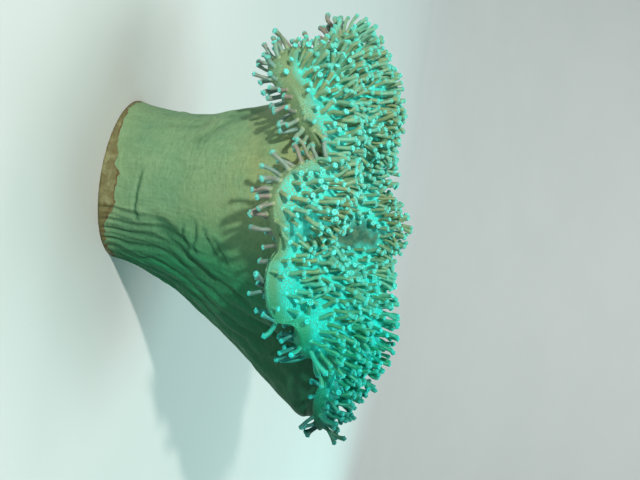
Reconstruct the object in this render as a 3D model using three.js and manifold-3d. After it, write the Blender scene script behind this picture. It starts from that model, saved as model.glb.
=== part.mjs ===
// Toadstool leather coral, life size: a broad stalk that flares into a folded,
// fleshy crown. Millimetres, +Z up, the middle of the foot at the origin.
// The crown is solid out to the tips of its open polyps.
import * as THREE from 'three';
import Module from 'manifold-3d';

const wasm = await Module();
wasm.setup();

const DEG = Math.PI / 180;
const TURN = 2 * Math.PI;

// The crown's lobes in order round it. angle: the lobe's middle, from +X.
// reach: from the stalk's axis to the margin. crest and edge: the heights of
// the lobe's top and of the margin's lower side. fold: the same four for the
// crease that follows the lobe.
const LOBES = [
  { name: 'lobe_right', angle: 4, reach: 105, crest: 128, edge: 117,
    fold: { angle: 17, reach: 99, crest: 132, edge: 119 } },
  { name: 'lobe_right_back', angle: 29, reach: 100, crest: 140, edge: 119,
    fold: { angle: 45, reach: 83, crest: 133, edge: 115 } },
  { name: 'lobe_back_right', angle: 60, reach: 85, crest: 131, edge: 110,
    fold: { angle: 72, reach: 70, crest: 127, edge: 110 } },
  { name: 'lobe_back', angle: 85, reach: 83, crest: 136, edge: 106,
    fold: { angle: 105, reach: 67, crest: 122, edge: 103 } },
  { name: 'lobe_back_left', angle: 127, reach: 87, crest: 123, edge: 92,
    fold: { angle: 147, reach: 77, crest: 123, edge: 95 } },
  { name: 'lobe_left_back', angle: 165, reach: 91, crest: 126, edge: 88,
    fold: { angle: 187, reach: 75, crest: 118, edge: 89 } },
  { name: 'lobe_left_front', angle: 214, reach: 79, crest: 113, edge: 76,
    fold: { angle: 247, reach: 57, crest: 117, edge: 109 } },
  { name: 'lobe_front_left', angle: 271, reach: 81, crest: 123, edge: 93,
    fold: { angle: 287, reach: 79, crest: 115, edge: 100 } },
  { name: 'lobe_front', angle: 300, reach: 86, crest: 113, edge: 98,
    fold: { angle: 309, reach: 84, crest: 119, edge: 102 } },
  { name: 'lobe_front_right', angle: 317, reach: 83, crest: 130, edge: 110,
    fold: { angle: 338, reach: 69, crest: 133, edge: 124 } },
];

// The crown's middle: the floor of its hollow, and how far each side of an
// angle the lobes are averaged so that the creases fade out towards it.
const HOLLOW_TOP = 99;
const BLEND_ANGLE = 38 * DEG;
const BLEND_STEPS = 12;

// The low lip at the front, over which the hollow shows: its middle, how far it
// spreads each side, and how far the lobes' tops drop there.
const LIP = { angle: 286, spread: 14, drop: 8 };

// The upper face from the middle outward: share of the reach, how far the lobes
// show, how far up the hollow's side, and the drop as a share of the margin's
// height.
const FACE = [
  { share: 0.16, shown: 0, up: 0.06, drop: 0 },
  { share: 0.32, shown: 0.1, up: 0.45, drop: 0 },
  { share: 0.46, shown: 0.35, up: 0.86, drop: 0 },
  { share: 0.61, shown: 0.7, up: 1, drop: 0 },
  { share: 0.8, shown: 0.95, up: 1, drop: 0.2 },
  { share: 0.93, shown: 1, up: 1, drop: 0.46 },
  { share: 1, shown: 1, up: 1, drop: 0.75 },
];

// The margin: its full thickness, the most of the overhang and of the lobe's
// height that it may take, and its round as shares of that thickness: how far
// in from the reach and how far above the edge.
const MARGIN_THICK = 15;
const MARGIN_OF_OVERHANG = 0.85;
const MARGIN_OF_HEIGHT = 1.05;
const MARGIN_ROUND = [{ inset: 0.06, rise: 0.22 }, { inset: 0.38, rise: 0 }, { inset: 0.8, rise: 0.25 }];

// The roundness of a crease and of a lobe, and how far the sides of a lobe
// lean over the creases beside it.
const CREASE_ROUND = 0.16;
const LOBE_ROUND = 1.7;
const LOBE_LEAN = 0.05;

// Ripples along the margin: how many round the crown, height and start.
const REACH_RIPPLES = [{ count: 11, size: 1.6, start: 1 }, { count: 17, size: 1, start: 2 }];
const EDGE_RIPPLE = { count: 13, size: 1.5, start: 0.5 };

// The stalk's half widths at each height, and the flare that carries the
// right-hand lobe.
const STALK = {
  height: [0, 8, 22, 38, 52, 71, 92, 108],
  right: [40, 41.5, 44, 48, 53, 59, 67, 74],
  left: [39, 38.4, 37.5, 38.5, 43, 49, 56, 62],
  front: [35, 35, 36, 38, 41, 45, 50, 56],
  back: [35, 35, 37, 41, 46, 53, 60, 68],
  flare: [0, 0.5, 2.5, 6, 10, 15.5, 22.5, 29],
};
const FLARE_ANGLE = 7 * DEG;
const FLARE_WIDTH = 27 * DEG;
const THROAT_HEIGHT = 94;
const THROAT_TILT = 14;
const THROAT_INSET = 6;
const THROAT_DROP = 4;
const UNDERSIDE_SHARE = 0.45;
const STALK_ROWS = [72, 54, 38, 22, 8];
const FOOT_LIP = 1;

// Open polyps: how far the longest tips stand off the flesh, the share of that
// at each place along the outline, and how far the solid dips between one group
// of tips and the next.
const POLYP_DEPTH = 14;
const POLYP_PLACES = [0, 3, 6, 7, 8, 9, 10, 11];
const POLYP_SHARES = [0.75, 0.78, 0.95, 1, 1, 0.7, 0.2, 0];
const TIP_DIP = 3.6;
const DIP_FROM_RADIUS = 24;
const DIP_FULL_RADIUS = 55;

// How finely the solid is divided: strips round the axis, and rows in each
// span of the outline from the crown's middle to the foot.
const STRIPS = 82;
const ROWS = [1, 2, 2, 3, 3, 3, 2, 2, 1, 1, 1, 2, 1, 1, 1, 1, 1, 1];
const NECK_STRIPS = 24;
const DISC_SIDES = 36;

// The cuts between the pieces.
const GAP = 0.3;
const DISC_RADIUS = 34;
const FOOT_TOP = 11;
const STALK_SPLIT = 46;
const NECK_HEIGHT = 84;
const NECK_TURN = 0.37;
const NECK_INSET = 3;
const NECK_SKIRT = 5;
const NECK_DROP = 11;
const WEDGE_STEPS = 8;
const CROWN_BOTTOM = 20;
const ROUNDING = 1e5;
const BELOW = -10;
const FAR = 170;

const lerp = (a, b, u) => a + (b - a) * u;
const clamp01 = (u) => Math.min(1, Math.max(0, u));
const smoothStep = (a, b, v) => {
  const u = clamp01((v - a) / (b - a));
  return u * u * (3 - 2 * u);
};

/** Value at x on the broken line through (xs, ys). */
function along(xs, ys, x) {
  if (x <= xs[0]) return ys[0];
  for (let k = 1; k < xs.length; k++) {
    if (x <= xs[k]) return lerp(ys[k - 1], ys[k], (x - xs[k - 1]) / (xs[k] - xs[k - 1]));
  }
  return ys[ys.length - 1];
}

/** Angle from a to b, going anticlockwise, 0 to a full turn. */
const ahead = (a, b) => (((b - a) % TURN) + TURN) % TURN;

/** Where an angle falls: its lobe, the crease beside it, the side and the nearness to the middle. */
function place(theta) {
  for (let k = 0; k < LOBES.length; k++) {
    const lobe = LOBES[k];
    const before = LOBES[(k + LOBES.length - 1) % LOBES.length].fold;
    const middle = lobe.angle * DEG;
    const after = ahead(middle, lobe.fold.angle * DEG);
    const past = ahead(middle, theta);
    if (past < after) return { lobe, crease: lobe.fold, side: 1, near: 1 - past / after };
    const ahead0 = ahead(before.angle * DEG, middle);
    const into = ahead(before.angle * DEG, theta);
    if (into <= ahead0) return { lobe, crease: before, side: -1, near: into / ahead0 };
  }
  throw new Error('angle outside every lobe');
}

/** A lobe's value at an angle: full in its middle, falling round to the crease. */
function lobed(theta, key) {
  const { lobe, crease, near } = place(theta);
  const low = CREASE_ROUND;
  const u = (Math.hypot(near, CREASE_ROUND) - low) / (Math.hypot(1, CREASE_ROUND) - low);
  return lerp(crease[key], lobe[key], 1 - (1 - u) ** LOBE_ROUND);
}

/** The same value averaged over the neighbouring angles. */
function blended(theta, key) {
  let sum = 0;
  let weight = 0;
  for (let k = 0; k <= BLEND_STEPS; k++) {
    const offset = (2 * k) / BLEND_STEPS - 1;
    const w = Math.cos((offset * Math.PI) / 2) + 0.05;
    sum += w * lobed(theta + offset * BLEND_ANGLE, key);
    weight += w;
  }
  return sum / weight;
}

/** The stalk's radius: two half ellipses each way, with the flare added. */
function stalkRadius(theta, z) {
  const c = Math.cos(theta);
  const s = Math.sin(theta);
  const a = along(STALK.height, c > 0 ? STALK.right : STALK.left, z);
  const b = along(STALK.height, s > 0 ? STALK.back : STALK.front, z);
  const off = ahead(-Math.PI, theta - FLARE_ANGLE) - Math.PI;
  const flare = along(STALK.height, STALK.flare, z) * Math.exp(-((off / FLARE_WIDTH) ** 2));
  return 1 / Math.hypot(c / a, s / b) + flare;
}

/** Height and radius of the throat, where the crown's underside meets the stalk. */
function throatAt(theta, reach, edge) {
  const height = Math.min(THROAT_HEIGHT + THROAT_TILT * Math.cos(theta), edge + 10);
  return { height, radius: Math.min(stalkRadius(theta, height), reach - THROAT_INSET) };
}

/** How far the lobes' tops drop at an angle, for the low lip. */
function lipDrop(theta) {
  const off = (theta / DEG - LIP.angle + 900) % 360 - 180;
  return LIP.drop * Math.exp(-((off / LIP.spread) ** 2));
}

function rippled(theta) {
  let reach = lobed(theta, 'reach');
  for (const r of REACH_RIPPLES) reach += r.size * Math.sin(r.count * theta + r.start);
  const edge = lobed(theta, 'edge')
    + EDGE_RIPPLE.size * Math.sin(EDGE_RIPPLE.count * theta + EDGE_RIPPLE.start);
  return { reach, edge };
}

/** The flesh's outline at an angle: [radius, height] from the crown's middle to the foot. */
function outline(theta) {
  const { reach, edge } = rippled(theta);
  const crest = lobed(theta, 'crest') - lipDrop(theta);
  const wideReach = blended(theta, 'reach');
  const wideCrest = blended(theta, 'crest');
  const throat = throatAt(theta, reach, edge);
  const over = reach - throat.radius;
  const span = crest - edge;
  const thick = Math.min(MARGIN_THICK, MARGIN_OF_OVERHANG * over, MARGIN_OF_HEIGHT * span);
  const face = FACE.map(({ share, shown, up, drop }) => [
    share * lerp(wideReach, reach, shown),
    lerp(HOLLOW_TOP, lerp(wideCrest, crest, shown), up) - drop * span,
  ]);
  const margin = MARGIN_ROUND.map(({ inset, rise }) => [reach - inset * thick, edge + rise * thick]);
  const inner = margin[margin.length - 1];
  const underside = [
    lerp(throat.radius, inner[0], UNDERSIDE_SHARE),
    (inner[1] + throat.height) / 2,
  ];
  const stalk = STALK_ROWS.map((z) => [Math.min(stalkRadius(theta, z), wideReach - THROAT_INSET), z]);
  return [
    [0, HOLLOW_TOP],
    ...face,
    ...margin,
    underside,
    [throat.radius, throat.height - THROAT_DROP],
    ...stalk,
    [stalkRadius(theta, 0) + FOOT_LIP, 0],
  ];
}

/** Smooth curve through the outline, with its place along the outline kept. */
function curve(points) {
  const last = points.length - 1;
  const at = (k) => {
    if (k < 0) return [-points[1][0], points[1][1]];
    if (k > last) return points[last].map((v, n) => 2 * v - points[last - 1][n]);
    return points[k];
  };
  const out = [];
  for (let k = 0; k < last; k++) {
    for (let j = 0; j < ROWS[k]; j++) {
      const t = j / ROWS[k];
      const pick = (n) => {
        const [a, b, c, d] = [at(k - 1)[n], at(k)[n], at(k + 1)[n], at(k + 2)[n]];
        return 0.5 * (2 * b + (c - a) * t + (2 * a - 5 * b + 4 * c - d) * t * t
          + (3 * b - a - 3 * c + d) * t ** 3);
      };
      out.push({ r: pick(0), z: pick(1), t: k + t });
    }
  }
  out.push({ r: points[last][0], z: points[last][1], t: last });
  return out;
}

/** Share of the polyps' depth at a place on the outline. */
const coatShare = (t) => along(POLYP_PLACES, POLYP_SHARES, t);

/** Share of the lobes' lean at a place on the outline. */
const leanShare = (t) => along([0, 3, 7, 10, 12, 18], [0, 0.3, 1, 1, 0.2, 0], t);

/** One strip of the solid: points from the crown's middle to the foot. */
function strip(i) {
  const theta = (i * TURN) / STRIPS;
  const { side, near } = place(theta);
  const flesh = curve(outline(theta));
  return flesh.map((p, j) => {
    const a = flesh[Math.max(0, j - 1)];
    const b = flesh[Math.min(flesh.length - 1, j + 1)];
    const run = Math.hypot(b.r - a.r, b.z - a.z);
    const tip = (i + j) % 2 === 0;
    const outward = smoothStep(DIP_FROM_RADIUS, DIP_FULL_RADIUS, p.r);
    const dip = tip ? 0 : TIP_DIP * outward * smoothStep(10, 9, p.t);
    const stand = Math.max(0, POLYP_DEPTH * coatShare(p.t) - dip);
    const lean = LOBE_LEAN * side * Math.sin(Math.PI * near) * leanShare(p.t);
    const r = Math.max(0, p.r - (stand * (b.z - a.z)) / run);
    const z = p.z + (stand * (b.r - a.r)) / run;
    return [r * Math.cos(theta + lean), r * Math.sin(theta + lean), z];
  });
}

/** A solid from rings of points; the first and last rows close to a point on the axis. */
function solidFromStrips(strips, top, bottom) {
  const rows = strips[0].length;
  const points = [top, ...strips.flat(), bottom];
  const at = (i, j) => 1 + (i % strips.length) * rows + j;
  const tris = [];
  for (let i = 0; i < strips.length; i++) {
    tris.push(0, at(i, 0), at(i + 1, 0));
    for (let j = 0; j < rows - 1; j++) {
      const [a, b, c, d] = [at(i, j), at(i, j + 1), at(i + 1, j + 1), at(i + 1, j)];
      // the shared edge joins the two dips, so every tip is a clean point
      if ((i + j) % 2 === 0) tris.push(a, b, c, a, c, d);
      else tris.push(a, b, d, b, c, d);
    }
    tris.push(at(i, rows - 1), points.length - 1, at(i + 1, rows - 1));
  }
  return new wasm.Manifold(new wasm.Mesh({
    numProp: 3,
    vertProperties: new Float32Array(points.flat()),
    triVerts: new Uint32Array(tris),
  }));
}

/** The whole coral as one solid. */
function wholeCoral() {
  const strips = [];
  for (let i = 0; i < STRIPS; i++) strips.push(strip(i));
  const top = strips[0][0];
  return solidFromStrips(strips.map((s) => s.slice(1)), top, [0, 0, 0]);
}

/** Everything under the crown: bounded above by a cone that leaves the flesh at the throat. */
function belowNeck(shift) {
  const strips = [];
  for (let i = 0; i < NECK_STRIPS; i++) {
    const theta = ((i + NECK_TURN) * TURN) / NECK_STRIPS;
    const { reach, edge } = rippled(theta);
    const throat = throatAt(theta, reach, edge);
    const corners = [
      [throat.radius / 2, (NECK_HEIGHT + throat.height - THROAT_DROP) / 2],
      [throat.radius - NECK_INSET, throat.height - NECK_SKIRT],
      [throat.radius + NECK_SKIRT, throat.height - NECK_DROP],
      [throat.radius + NECK_SKIRT, BELOW],
    ];
    strips.push(corners.map(([r, z], k) => [
      r * Math.cos(theta),
      r * Math.sin(theta),
      k < corners.length - 1 ? z + shift : z,
    ]));
  }
  return solidFromStrips(strips, [0, 0, NECK_HEIGHT + shift], [0, 0, BELOW]);
}

/** A three.js geometry as a solid. */
function solidFromGeometry(geometry) {
  const flat = geometry.index ? geometry.toNonIndexed() : geometry;
  const seen = new Map();
  const points = [];
  const tris = [];
  const position = flat.attributes.position;
  for (let i = 0; i < position.count; i++) {
    const p = [position.getX(i), position.getY(i), position.getZ(i)]
      .map((v) => Math.round(v * ROUNDING) / ROUNDING);
    const key = p.join();
    if (!seen.has(key)) {
      seen.set(key, points.length / 3);
      points.push(...p);
    }
    tris.push(seen.get(key));
  }
  return new wasm.Manifold(new wasm.Mesh({
    numProp: 3,
    vertProperties: new Float32Array(points),
    triVerts: new Uint32Array(tris),
  }));
}

/** Upright prism over a flat shape. */
function prism(shape, bottom, top) {
  const geometry = new THREE.ExtrudeGeometry(shape, {
    depth: top - bottom, bevelEnabled: false,
  });
  geometry.translate(0, 0, bottom);
  return solidFromGeometry(geometry);
}

/** The wedge that holds one lobe, clear of the disc and of its neighbours. */
function wedge(from, to) {
  const inner = DISC_RADIUS + GAP / 2;
  const corner = (angle, r, sideways) => new THREE.Vector2(
    r * Math.cos(angle) - sideways * Math.sin(angle),
    r * Math.sin(angle) + sideways * Math.cos(angle),
  );
  const points = [];
  for (let k = 0; k <= WEDGE_STEPS; k++) {
    const share = k / WEDGE_STEPS;
    const sideways = share === 0 ? GAP / 2 : share === 1 ? -GAP / 2 : 0;
    points.push(corner(from + share * ahead(from, to), inner, sideways));
  }
  points.push(corner(to, FAR, -GAP / 2), corner(from, FAR, GAP / 2));
  return prism(new THREE.Shape(points), CROWN_BOTTOM, FAR);
}

function disc(radius, bottom, top) {
  const corners = [];
  for (let k = 0; k < DISC_SIDES; k++) {
    const angle = ((k + 0.5) * TURN) / DISC_SIDES;
    corners.push(new THREE.Vector2(radius * Math.cos(angle), radius * Math.sin(angle)));
  }
  return prism(new THREE.Shape(corners), bottom, top);
}

/** A named mesh in its own material from a solid. */
function piece(name, solid, colour) {
  const { vertProperties, triVerts } = solid.getMesh();
  const geometry = new THREE.BufferGeometry();
  geometry.setAttribute('position', new THREE.BufferAttribute(new Float32Array(vertProperties), 3));
  geometry.setIndex(new THREE.BufferAttribute(new Uint32Array(triVerts), 1));
  geometry.computeVertexNormals();
  const material = new THREE.MeshStandardMaterial({ color: colour, roughness: 0.7, metalness: 0 });
  const mesh = new THREE.Mesh(geometry, material);
  mesh.name = name;
  return mesh;
}

const CROWN_TAN = 0xb9ab74;
const STALK_OLIVE = 0x8f9a66;
const FOOT_BROWN = 0x8a6a3c;

function build() {
  const coral = wholeCoral();
  const stalk = coral.intersect(belowNeck(-GAP / 2));
  const crown = coral.subtract(belowNeck(GAP / 2));
  const level = (bottom, top) => stalk.intersect(disc(FAR, bottom, top));
  const group = new THREE.Group();
  group.name = 'toadstool_leather_coral';
  group.add(piece('foot', level(BELOW, FOOT_TOP - GAP / 2), FOOT_BROWN));
  group.add(piece('stalk_lower', level(FOOT_TOP + GAP / 2, STALK_SPLIT - GAP / 2), STALK_OLIVE));
  group.add(piece('stalk_upper', level(STALK_SPLIT + GAP / 2, FAR), STALK_OLIVE));
  const middle = disc(DISC_RADIUS - GAP / 2, CROWN_BOTTOM, FAR);
  group.add(piece('crown_middle', crown.intersect(middle), CROWN_TAN));
  LOBES.forEach((lobe, k) => {
    const before = LOBES[(k + LOBES.length - 1) % LOBES.length].fold;
    const solid = crown.intersect(wedge(before.angle * DEG, lobe.fold.angle * DEG));
    group.add(piece(lobe.name, solid, CROWN_TAN));
  });
  return group;
}

export default build();
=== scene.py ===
"""Toadstool leather coral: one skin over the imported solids, with a coat of open polyps."""

import functools
import math
from collections import namedtuple

import bpy
import numpy as np
from bpy.props import FloatProperty, FloatVectorProperty, PointerProperty
from mathutils import Matrix, Vector


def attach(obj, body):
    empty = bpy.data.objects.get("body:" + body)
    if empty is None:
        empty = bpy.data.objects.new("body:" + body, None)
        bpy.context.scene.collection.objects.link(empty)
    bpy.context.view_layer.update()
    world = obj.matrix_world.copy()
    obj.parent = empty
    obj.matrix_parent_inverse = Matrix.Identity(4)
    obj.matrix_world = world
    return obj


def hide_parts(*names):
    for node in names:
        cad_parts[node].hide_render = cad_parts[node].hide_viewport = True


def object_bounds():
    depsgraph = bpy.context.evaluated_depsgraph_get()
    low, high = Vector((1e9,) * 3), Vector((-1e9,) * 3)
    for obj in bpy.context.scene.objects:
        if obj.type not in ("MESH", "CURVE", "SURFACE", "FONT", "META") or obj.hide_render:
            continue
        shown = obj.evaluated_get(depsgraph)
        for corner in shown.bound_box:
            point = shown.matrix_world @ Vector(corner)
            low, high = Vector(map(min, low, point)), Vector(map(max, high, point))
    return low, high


bl_info = {
    "name": "Leather Coral",
    "version": (1, 0, 0),
    "blender": (4, 5, 0),
    "location": "3D View > Sidebar > Coral",
    "description": "Builds a toadstool leather coral: skin, open polyps and a studio stage",
    "category": "Object",
}

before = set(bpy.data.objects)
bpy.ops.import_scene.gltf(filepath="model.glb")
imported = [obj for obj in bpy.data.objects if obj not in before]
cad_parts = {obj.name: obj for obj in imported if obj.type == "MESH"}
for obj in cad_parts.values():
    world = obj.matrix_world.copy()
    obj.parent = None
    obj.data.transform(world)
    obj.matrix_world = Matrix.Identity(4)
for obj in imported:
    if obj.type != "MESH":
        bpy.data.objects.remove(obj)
CAD_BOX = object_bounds()

BODY = "root"
MM = 0.001
TURN = 2 * math.pi
TINY = 1e-9
SEED = 7

# ---------------------------------------------------------------- the flesh

Lobe = namedtuple("Lobe", "name angle reach crest edge")

# The crown's lobes in order round it: the lobe's middle in degrees from +X, its
# reach from the stalk's axis, and the heights of its top and of its margin's
# lower side. CREASES holds the same for the crease after each lobe.
LOBES = [
    Lobe("right", 4, 105, 128, 117),
    Lobe("right_back", 29, 100, 140, 119),
    Lobe("back_right", 60, 85, 131, 110),
    Lobe("back", 85, 83, 136, 106),
    Lobe("back_left", 127, 87, 123, 92),
    Lobe("left_back", 165, 91, 126, 88),
    Lobe("left_front", 214, 79, 113, 76),
    Lobe("front_left", 271, 81, 123, 93),
    Lobe("front", 300, 86, 113, 98),
    Lobe("front_right", 317, 83, 130, 110),
]
CREASES = [
    Lobe("", 17, 99, 132, 119),
    Lobe("", 45, 83, 133, 115),
    Lobe("", 72, 70, 127, 110),
    Lobe("", 105, 67, 122, 103),
    Lobe("", 147, 77, 123, 95),
    Lobe("", 187, 75, 118, 89),
    Lobe("", 247, 57, 117, 109),
    Lobe("", 287, 79, 115, 100),
    Lobe("", 309, 84, 119, 102),
    Lobe("", 338, 69, 133, 124),
]
HOLLOW_TOP = 99
BLEND_ANGLE = math.radians(38)
BLEND_STEPS = 12

# The low lip at the front: its middle and spread in degrees, and the lobes' drop there.
LIP_ANGLE, LIP_SPREAD, LIP_DROP = 286, 14, 8
# How far the margin sags at the crease under the lip.
SAG_ANGLE, SAG_SPREAD, SAG_DROP = 287, 10, 2.5
# Where the margin's face is thick and almost bare of polyps: the middle and
# spread of each such stretch in degrees, and how bare the rest of it is.
BARE_STRETCHES = [(296, 13), (224, 16)]
BARE_LEAST = 0.3

# The upper face from the middle outward: share of the reach, how far the lobes
# show, how far up the hollow's side, and the drop as a share of the margin's height.
FACE = [
    (0.16, 0, 0.06, 0),
    (0.32, 0.1, 0.45, 0),
    (0.46, 0.35, 0.86, 0),
    (0.61, 0.7, 1, 0),
    (0.8, 0.95, 1, 0.2),
    (0.93, 1, 1, 0.46),
    (1, 1, 1, 0.75),
]
MARGIN_THICK = 15
MARGIN_OF_OVERHANG = 0.85
MARGIN_OF_HEIGHT = 1.05
MARGIN_ROUND = [(0.06, 0.22), (0.38, 0), (0.8, 0.25)]

# Bands along the margin's face, each by how many mm above the lowest row it starts
# and is full: its tan colour, the speckled fringe above, and the sparse polyps.
MARGIN_BAND = (13, 5)
FRINGE_BAND = (38, 12)
LIP_BAND = (16, 10)
# Their edges wave by so many mm, in waves of this width, and they are this much
# narrower away from the bare stretches.
BAND_WAVE, BAND_WAVE_WIDTH = 3.5, 9
BAND_NARROWER = 3
# The crown's gentle swells: size, width and seed.
SWELLS = [(1.5, 19, 3), (0.7, 8, 4)]
# How round the creases' bottoms and the lobes' tops are, and how far the lobes lean
# over their creases, in radians, with the share of it at each place along the outline.
LEAN_PLACES, LEAN_SHARES = [0, 3, 7, 10, 12, 18], [0, 0.3, 1, 1, 0.2, 0]
CREASE_ROUND = 0.16
LOBE_ROUND = 1.7
LOBE_LEAN = 0.05
# Small waves round the crown: how many, their size in mm and where they start.
REACH_RIPPLES = [(11, 1.6, 1), (17, 1, 2)]
EDGE_RIPPLE = (13, 1.5, 0.5)

# The stalk's half widths to each side at these heights, and how far its flare
# reaches beyond them at the flare's middle.
STALK_HEIGHT = [0, 8, 22, 38, 52, 71, 92, 108]
STALK_RIGHT = [40, 41.5, 44, 48, 53, 59, 67, 74]
STALK_LEFT = [39, 38.4, 37.5, 38.5, 43, 49, 56, 62]
STALK_FRONT = [35, 35, 36, 38, 41, 45, 50, 56]
STALK_BACK = [35, 35, 37, 41, 46, 53, 60, 68]
STALK_FLARE = [0, 0.5, 2.5, 6, 10, 15.5, 22.5, 29]
FLARE_ANGLE = math.radians(7)
FLARE_WIDTH = math.radians(27)
# The throat, where the crown leaves the stalk: its height, its tilt towards +X, the
# most it may rise over the margin's lower side, and how far inside the reach it stays.
THROAT_HEIGHT = 94
THROAT_TILT = 14
THROAT_OVER_EDGE = 10
THROAT_INSET = 6
THROAT_DROP = 4
UNDERSIDE_SHARE = 0.45
STALK_ROWS = [72, 54, 38, 22, 8]
FOOT_LIP = 1

# How far the coat of polyps stands off the flesh: the most, and the share of it
# at each place along the outline.
COAT_DEPTH = 14.0
COAT_PLACES = [0, 3, 6, 7, 8, 9, 10, 11]
COAT_SHARES = [0.75, 0.78, 0.95, 1, 1, 0.7, 0.2, 0]

# The skin's mesh: strips round the axis, and rows in each span of the outline.
SKIN_STRIPS = 448
SKIN_ROWS = [10, 12, 12, 12, 15, 14, 10, 9, 9, 9, 11, 12, 16, 16, 16, 15, 15, 8]


def place(theta):
    """The lobe's number, the side (-1 or 1) and the nearness to its middle, for each angle."""
    index = np.zeros(theta.shape, int)
    side = np.zeros(theta.shape)
    near = np.zeros(theta.shape)
    for k, lobe in enumerate(LOBES):
        middle = math.radians(lobe.angle)
        after = (math.radians(CREASES[k].angle) - middle) % TURN
        before = (middle - math.radians(CREASES[k - 1].angle)) % TURN
        past = (theta - middle) % TURN
        short = (middle - theta) % TURN
        right, left = past < after, short <= before
        index[right | left] = k
        side[right] = 1
        near[right] = 1 - past[right] / after
        side[left] = -1
        near[left] = 1 - short[left] / before
    return index, side, near


def lobed(theta, field):
    """A lobe's value at each angle: full in its middle, falling round to the crease."""
    index, side, near = place(theta)
    lobes = np.array([getattr(lobe, field) for lobe in LOBES], float)
    creases = np.array([getattr(crease, field) for crease in CREASES], float)
    low = creases[np.where(side > 0, index, index - 1)]
    share = np.hypot(near, CREASE_ROUND) - CREASE_ROUND
    share = share / (math.hypot(1, CREASE_ROUND) - CREASE_ROUND)
    return low + (lobes[index] - low) * (1 - (1 - share) ** LOBE_ROUND)


def blended(theta, field):
    """The same value averaged over the neighbouring angles."""
    offsets = np.linspace(-1, 1, BLEND_STEPS + 1)
    weights = np.cos(offsets * math.pi / 2) + 0.05
    values = [w * lobed(theta + o * BLEND_ANGLE, field) for o, w in zip(offsets, weights)]
    return sum(values) / weights.sum()


def stalk_radius(theta, height):
    """The stalk's radius: two half ellipses each way, with the flare under the long lobe."""
    c, s = np.cos(theta), np.sin(theta)

    def half(table):
        return np.interp(height, STALK_HEIGHT, table)

    a = np.where(c > 0, half(STALK_RIGHT), half(STALK_LEFT))
    b = np.where(s > 0, half(STALK_BACK), half(STALK_FRONT))
    off = (theta - FLARE_ANGLE + math.pi) % TURN - math.pi
    return 1 / np.hypot(c / a, s / b) + half(STALK_FLARE) * bell(off, FLARE_WIDTH)


def bell(value, width):
    """1 where the value is 0, falling smoothly to both sides."""
    return np.exp(-((value / width) ** 2))


def low_lip(theta):
    """How near each angle is to the low lip, 0 to 1."""
    return bell(angle_from(theta, LIP_ANGLE), LIP_SPREAD)


def bare_margin(theta):
    """How bare the margin's face is at each angle, 0 to 1."""
    return sum(bell(angle_from(theta, middle), spread) for middle, spread in BARE_STRETCHES)


def outline(theta):
    """The flesh's outline at each angle, from the crown's middle to the foot.

    The result is (angles, points, 2), each point a radius and a height.
    """
    reach = lobed(theta, "reach")
    for count, size, start in REACH_RIPPLES:
        reach = reach + size * np.sin(count * theta + start)
    count, size, start = EDGE_RIPPLE
    edge = lobed(theta, "edge") + size * np.sin(count * theta + start)
    edge = edge - SAG_DROP * bell(angle_from(theta, SAG_ANGLE), SAG_SPREAD)
    crest = lobed(theta, "crest") - LIP_DROP * low_lip(theta)
    wide_reach, wide_crest = blended(theta, "reach"), blended(theta, "crest")
    throat_height = np.minimum(THROAT_HEIGHT + THROAT_TILT * np.cos(theta), edge + THROAT_OVER_EDGE)
    throat = np.minimum(stalk_radius(theta, throat_height), reach - THROAT_INSET)
    over = reach - throat
    span = crest - edge
    thick = np.minimum(np.minimum(MARGIN_THICK, MARGIN_OF_OVERHANG * over), MARGIN_OF_HEIGHT * span)
    points = [(0, HOLLOW_TOP)]
    for share, shown, up, drop in FACE:
        top = wide_crest + (crest - wide_crest) * shown
        points.append((share * (wide_reach + (reach - wide_reach) * shown),
                       HOLLOW_TOP + (top - HOLLOW_TOP) * up - drop * span))
    for inset, rise in MARGIN_ROUND:
        points.append((reach - inset * thick, edge + rise * thick))
    inner = points[-1]
    points.append((throat + UNDERSIDE_SHARE * (inner[0] - throat), (inner[1] + throat_height) / 2))
    points.append((throat, throat_height - THROAT_DROP))
    for height in STALK_ROWS:
        points.append((np.minimum(stalk_radius(theta, height), wide_reach - THROAT_INSET), height))
    points.append((stalk_radius(theta, 0) + FOOT_LIP, 0))
    columns = [[value + np.zeros(theta.shape) for value in point] for point in points]
    return np.transpose(np.array(columns), (2, 0, 1))


def curve(points, rows):
    """Smooth curves through the outlines, and each row's place along the outline."""
    before = points[:, 1] * (-1, 1)
    after = 2 * points[:, -1] - points[:, -2]
    held = np.concatenate([before[:, None], points, after[:, None]], axis=1)
    out, places = [], []
    for k, count in enumerate(rows):
        a, b, c, d = (held[:, k + n] for n in range(4))
        for j in range(count):
            t = j / count
            out.append(0.5 * (2 * b + (c - a) * t + (2 * a - 5 * b + 4 * c - d) * t**2
                              + (3 * b - a - 3 * c + d) * t**3))
            places.append(k + t)
    out.append(points[:, -1])
    places.append(len(rows))
    return np.stack(out, axis=1), np.array(places)


def lattice_noise(points, seed):
    """Smooth noise from -1 to 1, with about one bump in each unit of distance."""
    cell = np.floor(points).astype(np.int64)
    part = points - cell
    part = part * part * (3 - 2 * part)
    total = np.zeros(points.shape[:-1])
    for corner in range(8):
        step = np.array([corner & 1, corner >> 1 & 1, corner >> 2])
        key = ((cell + step) @ np.array([73856093, 19349663, 83492791]) + seed * 40503) & 0x7FFFFFFF
        key = (key ^ (key >> 13)) * 1274126177 & 0x7FFFFFFF
        key = (key ^ (key >> 15)) * 2246822519 & 0x7FFFFFFF
        value = ((key >> 7) & 0xFFFF) / 32767.5 - 1
        total += value * np.prod(np.where(step, part, 1 - part), axis=-1)
    return total


def smooth_step(low, high, value):
    """0 at low and 1 at high, smooth between them; low may be the greater."""
    share = np.clip((value - low) / (high - low), 0, 1)
    return share * share * (3 - 2 * share)


def angle_from(theta, middle):
    """Degrees from a middle angle in degrees, -180 to 180."""
    return (np.degrees(theta) - middle + 180) % 360 - 180


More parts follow.
